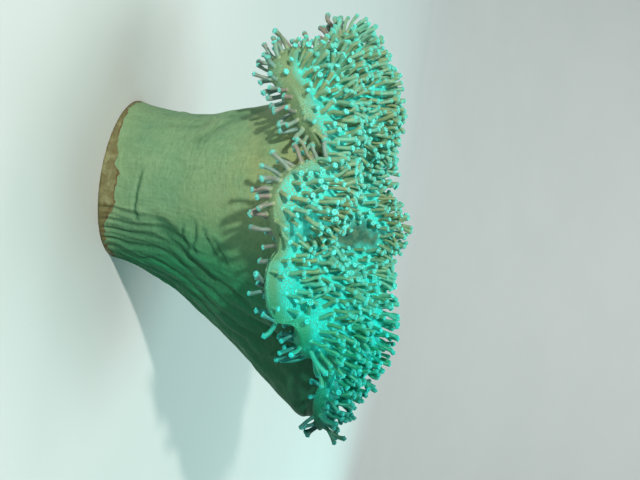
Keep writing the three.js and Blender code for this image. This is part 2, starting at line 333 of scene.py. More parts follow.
# Folds in the stalk's skin: the line each follows as (angle in degrees, height),
# its depth and half width in mm, and how far it wanders. A sharp one is a thin
# crease under a swollen lip, and the rest are rounded furrows.
Fold = namedtuple("Fold", "path depth width wander sharp")
STALK_FOLDS = [
    Fold([(-99, 20.7), (-90, 19.6), (-80, 19.5), (-70, 18.6), (-60, 19.5), (-56, 22.5)],
         1.4, 1.4, 0.7, True),
    Fold([(-72, 50), (-66, 51.5), (-59, 52.6), (-52, 51.5), (-44, 53)], 1.1, 1.4, 0.8, True),
    Fold([(-68, 55), (-60, 58), (-51, 63.8), (-45, 66)], 1.1, 1.4, 0.9, True),
    Fold([(-63, 60), (-56, 65), (-50, 69), (-43, 72)], 1.0, 1.4, 0.9, True),
    Fold([(-67, 46), (-58, 45), (-50, 48.5), (-42, 49)], 0.9, 1.4, 0.9, True),
    Fold([(160, 22), (175, 24), (190, 21)], 1.1, 1.4, 0.9, True),
    Fold([(60, 25), (80, 27), (100, 24), (118, 26)], 1.2, 1.4, 0.9, True),
    Fold([(30, 40), (42, 46), (56, 48)], 1.1, 1.4, 0.9, True),
    Fold([(-65, 25), (-62, 34), (-56, 43), (-50, 49)], 1.0, 2.2, 0.9, False),
    Fold([(-58, 29), (-50, 42), (-39, 54), (-32, 65)], 1.2, 2.0, 0.9, False),
    Fold([(-148, 64), (-138, 54), (-128, 47), (-119, 40)], 0.45, 3.0, 1.2, False),
    Fold([(-143, 48), (-142, 36), (-143, 20)], 0.4, 2.6, 1.2, False),
    Fold([(-157, 74), (-151, 60), (-147, 50)], 0.6, 2.8, 1.2, False),
    Fold([(-168, 70), (-165, 50), (-166, 30)], 0.9, 3.0, 1.4, False),
    Fold([(172, 74), (174, 55), (171, 38)], 1.1, 2.8, 1.4, False),
    Fold([(140, 70), (146, 50), (143, 26)], 1.0, 3.0, 1.6, False),
    Fold([(118, 74), (122, 52), (119, 34)], 1.0, 2.8, 1.6, False),
    Fold([(94, 70), (98, 44), (95, 14)], 1.1, 3.0, 1.6, False),
    Fold([(70, 74), (73, 56), (70, 36)], 1.1, 2.8, 1.6, False),
    Fold([(52, 70), (54, 48), (49, 20)], 1.0, 2.8, 1.6, False),
]
# The lengthwise folds that sweep up the flare: the angle they gain at each height,
# the first and last angle at the foot, the step between them, and their depths.
FLARE_SWEEP = [(-2, 0), (20, 0), (34, -3.5), (46, 1), (58, 7), (70, 9.5), (82, 13), (94, 16),
               (106, 18)]
FLARE_FIRST, FLARE_LAST, FLARE_STEP = -62, 36, 4.3
FLARE_DEPTHS = [1.5, 0.8, 1.25, 0.65, 1.4, 0.9]
FLARE_TOPS = [(-62, 28), (-56, 48), (-50, 70), (-43, 106)]
FLARE_FADE = [(-62, 0.7), (-46, 1), (5, 1), (36, 0.6)]
FLARE_REACH = 40
FLARE_FOLD_WIDTH, FLARE_FOLD_WANDER = 1.35, 0.9
# Painted shade, a deep green on the stalk's side under the long lobe: the angles where it
# starts and is full on each side, and how far these turn with height.
FLARE_SHADE_FRONT, FLARE_SHADE_BACK = (-88, -36), (95, 40)
FLARE_LOW_HEIGHT, FLARE_LOW_SHIFT = (0, 46), (36, 0)
# How much painted shade darkens the rounded furrows at each height, and how far from
# its ends a fold fades, in mm.
CREASE_SHADE_FADE = [(0, 0.45), (45, 1)]
FOLD_ENDS = 6.0
MM_PER_DEGREE = 0.733
# A small ring-shaped scar, by angle and height.
RING_SCAR = (-126.2, 44.6)
SCAR_RADIUS, SCAR_DEPTH = 1.5, 0.45
# Noise round the stalk, each as a radius in bumps and a bump's height in mm: the
# fine lengthwise lines, the broad swells, and the wandering of the folds.
FINE_LINES, BROAD_SWELLS, FOLD_WANDER = (19, 42), (2.6, 17), (6, 7)
BROAD_DEPTH = 1.0
# The fine lines are strongest under the long lobe, by angle, spread and share, and
# weaker at the back.
# The last of these sets how much painted shade darkens the fine lines.
FINE_LEAST, FINE_DEPTH, FINE_LINE_SHADE = 0.06, 0.55, 0.3
FINE_PLACES = [(-14, 42, 1), (110, 70, 0.6)]


def flare_folds():
    """The family of folds that run from the foot up under the long lobe."""
    folds = []
    for k, start in enumerate(np.arange(FLARE_FIRST, FLARE_LAST, FLARE_STEP)):
        share = np.clip((math.degrees(FLARE_ANGLE) - start) / FLARE_REACH, -1, 1)
        top = np.interp(start, *zip(*FLARE_TOPS))
        path = [(start + share * gain, height) for height, gain in FLARE_SWEEP if height <= top]
        if len(path) < len(FLARE_SWEEP):
            path.append((start + share * np.interp(top, *zip(*FLARE_SWEEP)), top))
        depth = FLARE_DEPTHS[k % len(FLARE_DEPTHS)] * np.interp(start, *zip(*FLARE_FADE))
        folds.append(Fold(path, depth, FLARE_FOLD_WIDTH, FLARE_FOLD_WANDER, False))
    return folds


def fold_distance(path, across, height):
    """Signed distance from a fold's line, and how far the nearest place is from the line's ends."""
    best = np.full(across.shape, np.inf)
    signed = np.zeros(across.shape)
    run = np.zeros(across.shape)
    spots = [np.array([a * MM_PER_DEGREE, z]) for a, z in path]
    gone = 0.0
    for start, end in zip(spots, spots[1:]):
        step = end - start
        size = float(np.hypot(*step))
        du, dv = across - start[0], height - start[1]
        share = np.clip((du * step[0] + dv * step[1]) / size**2, 0, 1)
        gap = np.hypot(du - share * step[0], dv - share * step[1])
        near = gap < best
        best = np.where(near, gap, best)
        signed = np.where(near, np.sign(step[0] * dv - step[1] * du), signed)
        run = np.where(near, gone + share * size, run)
        gone += size
    return best, signed, np.minimum(run, gone - run)


def round_stalk(theta, height, around, tall):
    """Noise places that close round the stalk, with each bump so many mm tall."""
    return np.stack([around * np.cos(theta), around * np.sin(theta), height / tall], axis=-1)


def stalk_relief(theta, height):
    """How far the stalk's skin dips, in mm, and the painted shade in its creases (0 to 1)."""
    lines = lattice_noise(round_stalk(theta, height, *FINE_LINES), SEED + 1)
    fine = 1 - smooth_step(0, 0.5, np.abs(lines))
    strength = FINE_LEAST + sum(
        share * bell(angle_from(theta, middle), spread) for middle, spread, share in FINE_PLACES)
    strength = np.clip(strength, 0, 1) * smooth_step(0, 14, height)
    dip = FINE_DEPTH * strength * fine
    # The second value is painted shade, dark along the fine lines, the folds and the scar's ring.
    crease_shade = FINE_LINE_SHADE * strength * fine
    broad = lattice_noise(round_stalk(theta, height, *BROAD_SWELLS), SEED + 5)
    dip = dip - BROAD_DEPTH * broad
    wander = round_stalk(theta, height, *FOLD_WANDER)
    for k, fold in enumerate(STALK_FOLDS + flare_folds()):
        middle = sum(a for a, _ in fold.path) / len(fold.path)
        across = (middle + angle_from(theta, middle)) * MM_PER_DEGREE
        shift = fold.wander * lattice_noise(wander, SEED + 40 + k)
        gap, side, inside = fold_distance(fold.path, across + shift, height + 0.8 * shift)
        ends = smooth_step(0, FOLD_ENDS, inside + 0.1)
        if fold.sharp:
            dip += ends * fold.depth * np.clip(1 - gap / fold.width, 0, 1)
            dip -= ends * 0.5 * fold.depth * smooth_step(5.5, 0.6, gap) * (side > 0)
            crease_shade += ends * smooth_step(0.8 * fold.width, 0, gap)
        else:
            dip += ends * fold.depth * bell(gap, fold.width)
            dip -= ends * 0.35 * fold.depth * bell(gap - 2 * fold.width, fold.width)
            faded = min(fold.depth, 1) * np.interp(height, *zip(*CREASE_SHADE_FADE))
            crease_shade += 0.8 * ends * faded * bell(gap, 0.8 * fold.width)
    scar = np.hypot(angle_from(theta, RING_SCAR[0]) * MM_PER_DEGREE, height - RING_SCAR[1])
    dip -= SCAR_DEPTH * bell(scar - SCAR_RADIUS, 0.6)
    crease_shade += 0.5 * bell(scar, 0.7)
    return dip, np.clip(crease_shade, 0, 1)


def grid_normals(points):
    """Outward normals of a closed ring of strips."""
    around = np.roll(points, -1, axis=0) - np.roll(points, 1, axis=0)
    normal = np.cross(np.gradient(points, axis=1), around)
    size = np.linalg.norm(normal, axis=-1, keepdims=True)
    return np.where(size > TINY, normal / np.maximum(size, TINY), (0, 0, 1))


def strip_runs(points):
    """Distance along each strip from the crown's middle, in mm."""
    steps = np.linalg.norm(np.diff(points, axis=1), axis=-1)
    return np.concatenate([np.zeros((len(points), 1)), np.cumsum(steps, axis=1)], axis=1)


@functools.lru_cache(maxsize=1)
def flesh():
    """The skin's points, normals and masks on its grid of strips and rows, in mm."""
    theta = np.arange(SKIN_STRIPS) * TURN / SKIN_STRIPS
    rz, places = curve(outline(theta), SKIN_ROWS)
    _, side, near = place(theta)
    lean = LOBE_LEAN * (side * np.sin(math.pi * near))[:, None]
    lean = lean * np.interp(places, LEAN_PLACES, LEAN_SHARES)[None]
    turn = theta[:, None] + lean
    radius, height = np.maximum(rz[..., 0], 0), rz[..., 1]
    points = np.stack([radius * np.cos(turn), radius * np.sin(turn), height], axis=-1)
    normals = grid_normals(points)
    row = np.broadcast_to(places[None], height.shape)

    crown = smooth_step(11.2, 9.6, row)
    run = strip_runs(points)
    above = run[:, np.searchsorted(places, 8)][:, None] - run
    above = above + BAND_WAVE * lattice_noise(points / BAND_WAVE_WIDTH, SEED + 6)
    above = above + BAND_NARROWER * (1 - bare_margin(turn))
    on_lobe = smooth_step(3.5, 4.5, row) * smooth_step(10.8, 9.8, row)
    swell = sum(size * lattice_noise(points / width, SEED + n) for size, width, n in SWELLS)
    dip, crease_shade = stalk_relief(turn, height)
    on_stalk = smooth_step(10.5, 12.2, row) * smooth_step(0, 2.5, height)
    move = crown * swell - on_stalk * dip
    points = points + normals * move[..., None]
    points[..., 2] = np.maximum(points[..., 2], 0)
    off = angle_from(turn, 0) - np.interp(height, FLARE_LOW_HEIGHT, FLARE_LOW_SHIFT)
    masks = {
        "crown": crown * smooth_step(10.6, 9.2, row),
        "rim": smooth_step(*MARGIN_BAND, above) * on_lobe,
        "fringe": smooth_step(*FRINGE_BAND, above) * on_lobe,
        "lip": smooth_step(*LIP_BAND, above) * on_lobe,
        # The next two masks are painted shade: the stalk's creases, and deep green on its side
        # under the long lobe.
        "crease_shade": crease_shade * on_stalk,
        "flare": smooth_step(9.3, 10.3, row) * smooth_step(*FLARE_SHADE_FRONT, off)
                 * smooth_step(*FLARE_SHADE_BACK, off),
        "row": row,
    }
    return points, grid_normals(points), masks, turn


# ---------------------------------------------------------------- mesh helpers

def mesh_object(name, verts, faces):
    """A new object of the given vertices (metres) and faces, linked to the scene."""
    mesh = bpy.data.meshes.new(name)
    mesh.from_pydata(verts.tolist(), [], faces)
    mesh.validate()
    mesh.update()
    mesh.shade_smooth()
    obj = bpy.data.objects.new(name, mesh)
    bpy.context.scene.collection.objects.link(obj)
    return obj


def store(obj, name, values):
    """A float for each vertex, under a name that a material can read."""
    attribute = obj.data.attributes.new(name, "FLOAT", "POINT")
    attribute.data.foreach_set("value", np.ascontiguousarray(values, np.float32))


# ---------------------------------------------------------------- node helpers

def add(tree, kind, values=None, **settings):
    """A node with its settings, and its input sockets set or linked."""
    node = tree.nodes.new(kind)
    for name, value in settings.items():
        setattr(node, name, value)
    for key, value in (values or {}).items():
        socket = node.inputs[key]
        if isinstance(value, bpy.types.NodeSocket):
            tree.links.new(value, socket)
        elif socket.type == "RGBA":
            socket.default_value = (*value[:3], 1)
        else:
            socket.default_value = value
    return node


def use_group(tree, group, values):
    """A placed node group's first output."""
    return add(tree, "ShaderNodeGroup", values, node_tree=group).outputs[0]


def mask(tree, name):
    return add(tree, "ShaderNodeAttribute", attribute_name=name).outputs["Fac"]


def calc(tree, operation, a, b):
    return add(tree, "ShaderNodeMath", {0: a, 1: b}, operation=operation).outputs[0]


def times(tree, a, b):
    return calc(tree, "MULTIPLY", a, b)


def blend(tree, share, a, b, kind="MIX"):
    """Colour a turning to colour b as share goes from 0 to 1."""
    values = {0: share, 6: a, 7: b}
    return add(tree, "ShaderNodeMix", values, data_type="RGBA", blend_type=kind).outputs[2]


def ramp(tree, value, low, high, out_low=0.0, out_high=1.0):
    """A smooth step from out_low to out_high as the value goes from low to high."""
    values = {"Value": value, "From Min": low, "From Max": high,
              "To Min": out_low, "To Max": out_high}
    return add(tree, "ShaderNodeMapRange", values, interpolation_type="SMOOTHSTEP").outputs[0]


def object_place(tree):
    return add(tree, "ShaderNodeTexCoord").outputs["Object"]


def stretched(tree, where, scale):
    return add(tree, "ShaderNodeMapping", {"Vector": where, "Scale": scale}).outputs[0]


def axis(tree, where, name):
    return add(tree, "ShaderNodeSeparateXYZ", {"Vector": where}).outputs[name]


def noise(tree, where, scale, detail=2.0, roughness=0.5):
    values = {"Vector": where, "Scale": scale, "Detail": detail, "Roughness": roughness}
    return add(tree, "ShaderNodeTexNoise", values).outputs["Fac"]


FLOAT, COLOUR = "NodeSocketFloat", "NodeSocketColor"


def node_group(name, inputs, outputs):
    """Make a function that fills a node group into one that gives the group, built once."""

    def build(fill):
        group = bpy.data.node_groups.new(name, "ShaderNodeTree")
        for label, kind, default in inputs:
            socket = group.interface.new_socket(label, in_out="INPUT", socket_type=kind)
            socket.default_value = default
        for label, kind in outputs:
            group.interface.new_socket(label, in_out="OUTPUT", socket_type=kind)
        ins, outs = group.nodes.new("NodeGroupInput"), group.nodes.new("NodeGroupOutput")
        group.links.new(fill(group, ins.outputs), outs.inputs[0])
        return group

    def wrap(fill):
        return lambda: bpy.data.node_groups.get(name) or build(fill)

    return wrap


@node_group(
    "living_mottle",
    [("Color", COLOUR, (0.5, 0.5, 0.5, 1)), ("Tint", COLOUR, (0.4, 0.4, 0.3, 1)),
     ("Patches", FLOAT, 0.5), ("Grain", FLOAT, 0.2)],
    [("Color", COLOUR)],
)
def living_mottle(group, ins):
    """Uneven living colour: broad patches and a fine grain over any base colour."""
    where = object_place(group)
    broad = ramp(group, noise(group, where, 45.0, 3.0), 0.38, 0.68)
    small = ramp(group, noise(group, where, 420.0, 3.0, 0.6), 0.3, 0.75)
    patched = blend(group, times(group, broad, ins["Patches"]), ins["Color"], ins["Tint"])
    darkest = calc(group, "SUBTRACT", 1.0, ins["Grain"])
    shade = add(group, "ShaderNodeMapRange", {"Value": small, "To Min": 1.0, "To Max": darkest})
    return blend(group, 1.0, patched, shade.outputs[0], "MULTIPLY")


# Painted shade: how far along +X the crown's colours darken and lose their red, first to
# the deep tone, then further down to the far one at the long lobe's end.
LONG_LOBE_SHADE_BAND, FAR_SHADE_BAND = (-0.005, 0.065), (0.065, 0.115)
FAR_SHADE_TONE = (0.09, 0.23, 0.23)


@node_group(
    "long_lobe_shade",
    [("Color", COLOUR, (0.5, 0.5, 0.5, 1)), ("Tone", COLOUR, (0.3, 0.9, 0.9, 1))],
    [("Color", COLOUR)],
)
def long_lobe_shade(group, ins):
    """Painted shade: colours that darken from the crown's middle towards the long lobe."""
    along_lobe = axis(group, object_place(group), "X")
    near = ramp(group, along_lobe, *LONG_LOBE_SHADE_BAND)
    deep = blend(group, near, ins["Color"], ins["Tone"], "MULTIPLY")
    return blend(group, ramp(group, along_lobe, *FAR_SHADE_BAND), deep, FAR_SHADE_TONE, "MULTIPLY")


@node_group(
    "small_polyp_stipple",
    [("Dots per metre", FLOAT, 900.0), ("Size", FLOAT, 0.45)],
    [("Dots", FLOAT)],
)
def small_polyp_stipple(group, ins):
    """Tiny close-set dots: the small polyps that never open, as a mask or a height."""
    cells = add(group, "ShaderNodeTexVoronoi", {
        "Vector": object_place(group), "Scale": ins["Dots per metre"], "Randomness": 0.6,
    }, feature="F1")
    core = times(group, ins["Size"], 0.45)
    return ramp(group, cells.outputs["Distance"], ins["Size"], core)


def new_material(name, constants):
    """A material with one Principled shader, and its constant sockets set."""
    material = bpy.data.materials.new(name)
    material.use_nodes = True
    tree = material.node_tree
    shader = tree.nodes["Principled BSDF"]
    for key, value in constants.items():
        shader.inputs[key].default_value = value
    return material, tree, shader


def finish(tree, shader, colour, rough, strength, distance, height):
    """Link a material's colour, roughness and bump to its shader."""
    values = {"Strength": strength, "Distance": distance, "Height": height}
    bump = add(tree, "ShaderNodeBump", values).outputs["Normal"]
    for key, value in (("Base Color", colour), ("Roughness", rough), ("Normal", bump)):
        tree.links.new(value, shader.inputs[key])


def stalk_colour(tree, colours, where, streak):
    """The stalk: mottled olive; painted shade, deep green under the long lobe and dark in creases.
    """
    height, stain = axis(tree, where, "Z"), mask(tree, "stain")
    warm = times(tree, ramp(tree, height, 0.03, 0.085),
                 ramp(tree, noise(tree, where, 22.0, 2.0), 0.35, 0.6, 0.25, 1.0))
    stalk = use_group(tree, living_mottle(), {
        "Color": blend(tree, warm, colours.stalk, colours.stalk_warm),
        "Tint": colours.stalk_tint, "Patches": 0.6, "Grain": 0.16,
    })
    flare = mask(tree, "flare")
    # Painted shade on the stalk's side, darkest high up just under the long lobe.
    under = times(tree, flare, ramp(tree, height, 0.07, 0.112, 0.0, 0.85))
    lip = ramp(tree, stain, 0.12, 0.45)
    # The streaks and the lip over the stain are the stalk's own colour; the deep green, the darkest
    # green under the lobe and the dark creases are painted shade.
    for share, tone in (
        (times(tree, streak, 0.1), colours.stalk_streak_and_crease_shade),
        (times(tree, flare, 0.95), colours.stalk_side_shade),
        (under, colours.stalk_shade),
        (times(tree, mask(tree, "crease_shade"), 0.85), colours.stalk_streak_and_crease_shade),
        (times(tree, lip, 0.2), colours.stalk_lip),
    ):
        stalk = blend(tree, share, stalk, tone)
    return stalk


def crown_colour(tree, colours, where, dots):
    """The crown: dotted flesh, tan on the margin, blotched where bare, with painted shade."""
    speckled = times(tree, mask(tree, "fringe"),
                     ramp(tree, noise(tree, where, 70.0, 3.0), 0.3, 0.55, 0.35, 1.0))
    # The crown's cyan is partly painted light, the blue-green light on its upper face.
    base = use_group(tree, living_mottle(), {
        "Color": blend(tree, speckled, colours.crown, colours.margin),
        "Tint": colours.margin, "Patches": 0.3, "Grain": 0.12,
    })
    gaps = blend(tree, mask(tree, "rim"), colours.crown_gap, colours.margin_gap)
    upper = blend(tree, dots, gaps, base)
    # The bare hollow's dark colours are partly its bare flesh and partly painted shade.
    blotch = ramp(tree, noise(tree, where, 260.0, 4.0, 0.7), 0.4, 0.6)
    bared = blend(tree, blotch, colours.bare, colours.bare_blotch_and_shade)
    bared = blend(tree, times(tree, dots, 0.35), bared, colours.bare_blotch_and_shade)
    upper = blend(tree, times(tree, mask(tree, "bare"), 0.92), upper, bared)
    # Painted shade, deeper towards the long lobe's end.
    return use_group(tree, long_lobe_shade(), {"Color": upper, "Tone": colours.long_lobe_shade})


def stained(tree, colours, where, clean):
    """The clean flesh with the growth over its foot, and a rusty line along the edge."""
    edge = calc(tree, "SUBTRACT", noise(tree, where, 200.0, 5.0, 0.65), 0.5)
    ragged = calc(tree, "ADD", mask(tree, "stain"), times(tree, edge, 0.26))
    light = ramp(tree, noise(tree, where, 150.0, 4.0, 0.65), 0.42, 0.62)
    crust = blend(tree, light, colours.stain, colours.stain_light)
    specks = ramp(tree, noise(tree, where, 520.0, 3.0, 0.6), 0.56, 0.7, 0.0, 0.7)
    crust = blend(tree, specks, crust, colours.stain_dark)
    colour = blend(tree, times(tree, ramp(tree, ragged, 0.49, 0.53), 0.92), clean, crust)
    line = times(tree, ramp(tree, ragged, 0.475, 0.505), ramp(tree, ragged, 0.55, 0.515))
    line = times(tree, line, ramp(tree, noise(tree, where, 110.0, 3.0), 0.36, 0.56))
    return blend(tree, times(tree, line, 0.85), colour, colours.stain_edge)


def skin_material(colours):
    """Leathery stalk, dotted crown, tan margin and stained foot in one skin."""
    material, tree, shader = new_material("coral_skin", {
        "Subsurface Weight": 0.12,
        "Subsurface Radius": (1.0, 0.8, 0.5),
        "Subsurface Scale": 0.0015,
        "Specular IOR Level": 0.2,
    })
    crown, where = mask(tree, "crown"), object_place(tree)
    lengthwise = stretched(tree, where, (1.0, 1.0, 0.3))
    streak = ramp(tree, noise(tree, lengthwise, 330.0, 4.0, 0.65), 0.4, 0.66)
    level = stretched(tree, where, (0.35, 0.35, 1.0))
    wrinkles = ramp(tree, noise(tree, level, 480.0, 3.0, 0.6), 0.42, 0.62)
    dots = use_group(tree, small_polyp_stipple(), {"Dots per metre": 1350.0, "Size": 0.58})
    colour = blend(tree, crown, stalk_colour(tree, colours, where, streak),
                   crown_colour(tree, colours, where, dots))
    fine = noise(tree, where, 900.0, 2.0, 0.6)
    leather = calc(tree, "ADD", times(tree, streak, 0.7), calc(tree, "ADD", wrinkles, fine))
    values = {0: crown, 2: leather, 3: times(tree, dots, 1.6)}
    height = add(tree, "ShaderNodeMix", values, data_type="FLOAT").outputs[0]
    rough = ramp(tree, noise(tree, where, 180.0, 3.0), 0.3, 0.7, 0.5, 0.68)
    finish(tree, shader, stained(tree, colours, where, colour), rough, 0.5, 0.00035, height)
    return material


def polyp_material(colours):
    """Polyps: brown-tan stems that pale towards the head, with bright tentacle tips."""
    material, tree, shader = new_material("coral_polyps", {
        "Subsurface Weight": 0.2,
        "Subsurface Radius": (0.9, 0.9, 0.7),
        "Subsurface Scale": 0.0012,
        "Sheen Weight": 0.35,
        "Sheen Roughness": 0.35,
        "Sheen Tint": (0.12, 1.0, 0.9, 1),
        "Specular IOR Level": 0.35,
    })
    along, low, where = mask(tree, "along"), mask(tree, "low"), object_place(tree)
    stem = blend(tree, low, colours.stem, colours.stem_low)
    paler = times(tree, ramp(tree, mask(tree, "pick"), 0.45, 1.0, 0.0, 0.6),
                  calc(tree, "SUBTRACT", 1.0, low))
    stem = use_group(tree, living_mottle(), {
        "Color": blend(tree, paler, stem, colours.stem_pale),
        "Tint": colours.crown, "Patches": 0.25, "Grain": 0.2,
    })
    root = blend(tree, mask(tree, "rim"), colours.crown, colours.margin)
    colour = blend(tree, ramp(tree, along, 0.0, 0.2), root, stem)
    shown = calc(tree, "SUBTRACT", 0.85, times(tree, low, 0.2))
    colour = blend(tree, times(tree, ramp(tree, along, 0.78, 0.92), shown), colour, colours.tip)
    colour = blend(tree, times(tree, ramp(tree, along, 0.94, 1.0), shown), colour, colours.bud)
    # Painted shade towards the long lobe, as on the crown.
    colour = use_group(tree, long_lobe_shade(), {"Color": colour, "Tone": colours.long_lobe_shade})
    rough = ramp(tree, noise(tree, where, 300.0), 0.3, 0.7, 0.42, 0.6)
    finish(tree, shader, colour, rough, 0.3, 0.0002, noise(tree, where, 1500.0, 2.0))
    return material


# ---------------------------------------------------------------- settings

def size_prop(label, text, default):
    return FloatProperty(name=label, description=text, default=default, min=0.0001, max=0.1,
                         unit="LENGTH", precision=4)


def colour_prop(label, text, default):
    return FloatVectorProperty(name=label, description=text, default=default, subtype="COLOR",
                               size=3, min=0, max=1)


class CoralSizes(bpy.types.PropertyGroup):
    """Sizes of the living detail."""

    polyp_length: size_prop("Polyp length", "Length of an open polyp on the upper face", 0.0083)
    polyp_radius: size_prop("Polyp radius", "Radius of a polyp's stem", 0.00100)
    polyp_spacing: size_prop("Polyp spacing", "Least distance between two polyps' roots", 0.0034)
    tentacle_length: size_prop("Tentacle length", "Length of each of a polyp's tentacles", 0.0012)


class CoralColours(bpy.types.PropertyGroup):
    """Colours of the flesh and of the stage."""

    stalk: colour_prop("Stalk", "Stalk's pale olive", (0.168, 0.280, 0.146))
    stalk_tint: colour_prop("Stalk tint", "Greener patches on the stalk", (0.118, 0.252, 0.138))
    # The next colour is the streaks' own dark tone and the painted shade in the creases.
    stalk_streak_and_crease_shade: colour_prop("Stalk dark", "Creases and streaks on the stalk", (0.015, 0.09, 0.04))
    stalk_warm: colour_prop("Stalk warm", "Straw tone of the upper stalk", (0.225, 0.275, 0.118))
    # The next two are painted shade: deep green on the stalk's side under the long lobe, and
    # darkest right under it.
    stalk_side_shade: colour_prop("Stalk deep", "Deep green below the long lobe", (0.004, 0.155, 0.064))
    stalk_shade: colour_prop("Stalk shade", "Darkest green below that lobe", (0.002, 0.05, 0.024))
    stalk_lip: colour_prop("Stalk lip", "Bright rim just above the stain", (0.235, 0.335, 0.155))
    # The crown's bright cyan is partly its own colour and partly painted light, the blue-green
    # light that falls on the upper face.
    crown: colour_prop("Crown", "Pale dotted flesh between the polyps", (0.075, 0.82, 0.70))
    crown_gap: colour_prop("Crown gaps", "Flesh between the crown's dots", (0.03, 0.62, 0.54))
    margin: colour_prop("Margin", "Tan flesh of the crown's thick margin", (0.25, 0.32, 0.16))
    margin_gap: colour_prop("Margin gaps", "Flesh between the margin's dots", (0.145, 0.25, 0.125))
    # The next colour is painted shade, multiplied into the colours towards the long lobe.
    long_lobe_shade: colour_prop("Deep side", "Multiplies the long lobe's colours", (0.02, 0.93, 0.95))
    # The bare patch's colours are partly the bare flesh and partly painted shade of the hollow.
    bare: colour_prop("Bare patch", "Bare flesh in the crown's hollow", (0.085, 0.130, 0.060))
    bare_blotch_and_shade: colour_prop("Bare patch dark", "Blotches of the bare flesh", (0.022, 0.055, 0.026))
    stain: colour_prop("Stain", "Growth on the foot", (0.125, 0.105, 0.040))
    stain_light: colour_prop("Stain light", "Pale rusty parts of the growth", (0.20, 0.19, 0.09))
    stain_dark: colour_prop("Stain dark", "Darkest specks of the growth", (0.11, 0.05, 0.02))
    stain_edge: colour_prop("Stain edge", "Rusty line along the stain", (0.10, 0.035, 0.015))
    stem: colour_prop("Polyp stem", "Stem of a polyp on the upper face", (0.200, 0.285, 0.135))
    stem_low: colour_prop("Low stem", "Stem of a polyp under the margin", (0.21, 0.18, 0.145))
    stem_pale: colour_prop("Pale stem", "Stem of the palest polyps", (0.13, 0.37, 0.26))
    tip: colour_prop("Polyp tip", "Head and tentacles of a polyp", (0.07, 0.52, 0.42))
    bud: colour_prop("Tentacle tip", "Pale ends of the tentacles", (0.15, 0.88, 0.80))
    floor: colour_prop("Floor", "Stage floor", (0.58, 0.59, 0.58))


# ---------------------------------------------------------------- the skin

def skin_uv(theta, reach_along):
    """A place on the skin's unwrap: its middle is the crown's middle, and its rim the foot."""
    return np.stack([0.5 + 0.49 * reach_along * np.cos(theta),
                     0.5 + 0.49 * reach_along * np.sin(theta)], axis=-1)


# The bare patches in the hollow: each one's middle and half sizes in plan, where
# its edge starts and is full, and how ragged that is: the size, width and seed of waves.
# Their dark colour is partly the bare flesh and partly painted shade; the second patch mostly
# paints the shade in the hollow's deep side.
BARE_PATCHES = [((9.0, 22.5), (7.5, 15.0)), ((25.0, 8.0), (8.0, 12.0))]
BARE_EDGE = (1.45, 0.55)
BARE_WAVES = [(0.42, 6, 70), (0.21, 2.5, 71)]


def bare_share(points):
    """How bare of open polyps the hollow is at each point, 0 to 1."""
    ragged = sum(size * lattice_noise(points / width, SEED + n) for size, width, n in BARE_WAVES)
    share = np.zeros(points.shape[:-1])
    for (middle_x, middle_y), (half_x, half_y) in BARE_PATCHES:
        off = np.hypot((points[..., 0] - middle_x) / half_x, (points[..., 1] - middle_y) / half_y)
        share = np.maximum(share, smooth_step(*BARE_EDGE, off + ragged))
    return share


# The stained foot: the stain's upper edge is highest at one angle, falls slowly
# to the left of it and fast to the right. The mask passes 0.5 at that edge.
STAIN_MIDDLE = -70
STAIN_LEAST = 2.0
STAIN_RISE = 7.0
STAIN_LEFT = 42
STAIN_RIGHT = 27
STAIN_SCALE = 16.0
STAIN_WAVES = [(1.3, 5, 60), (0.8, 2, 61)]


def stain_share(points, turn):
    """How far each point lies under the stain's edge: 0.5 on it, more below."""
    off = angle_from(turn, STAIN_MIDDLE)
    rise = np.where(off < 0, bell(off, STAIN_LEFT), smooth_step(STAIN_RIGHT, 0, off))
    waves = sum(size * lattice_noise(points / width, SEED + n) for size, width, n in STAIN_WAVES)
    return 0.5 + (STAIN_LEAST + STAIN_RISE * rise + waves - points[..., 2]) / STAIN_SCALE


class CORAL_OT_skin(bpy.types.Operator):
    """Build the coral's one skin in place of its solids"""

    bl_idname = "coral.skin"
    bl_label = "Skin"

    def execute(self, context):
        points, _, masks, turn = flesh()
        strips, rows = points.shape[:2]
        ring = rows - 1

        def at(i, j):
            return 1 + (i % strips) * ring + (j - 1)

        verts = np.concatenate([points[0, :1], points[:, 1:].reshape(-1, 3), [[0, 0, 0]]])
        faces = []
        for i in range(strips):
            faces.append((0, at(i, 1), at(i + 1, 1)))
            faces.extend((at(i, j), at(i, j + 1), at(i + 1, j + 1), at(i + 1, j))
                         for j in range(1, ring))
            faces.append((at(i, ring), len(verts) - 1, at(i + 1, ring)))
        skin = mesh_object("coral_skin", verts * MM, faces)
        # Of these, the masks for the stalk's creases and its side under the long lobe carry painted
        # shade, and the bare hollow's partly.
        painted = {name: masks[name] for name in ("crown", "rim", "fringe", "crease_shade", "flare")}
        painted["bare"] = bare_share(points) * masks["crown"]
        painted["stain"] = stain_share(points, turn)
        for name, values in painted.items():
            values = [values[0, :1], values[:, 1:].reshape(-1), values[0, -1:]]
            store(skin, name, np.concatenate(values))
        skin.data.materials.append(skin_material(context.scene.coral_colours))
        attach(skin, BODY)
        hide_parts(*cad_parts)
        return {"FINISHED"}


# ---------------------------------------------------------------- the polyps

CANDIDATES = 110000
# The crown's middle piece holds the polyps inside this radius.
MIDDLE_RADIUS = 30
# Each polyp's patch on the unwrap is this wide.
PATCH = 0.003
COAT_LAST_ROW = 9.9
# The room kept for a head between the end of its stem and the coat's outer side, and
# between that end and the model's box, in mm.
COAT_MARGIN = 1.2
HEAD_ROOM = 1.6

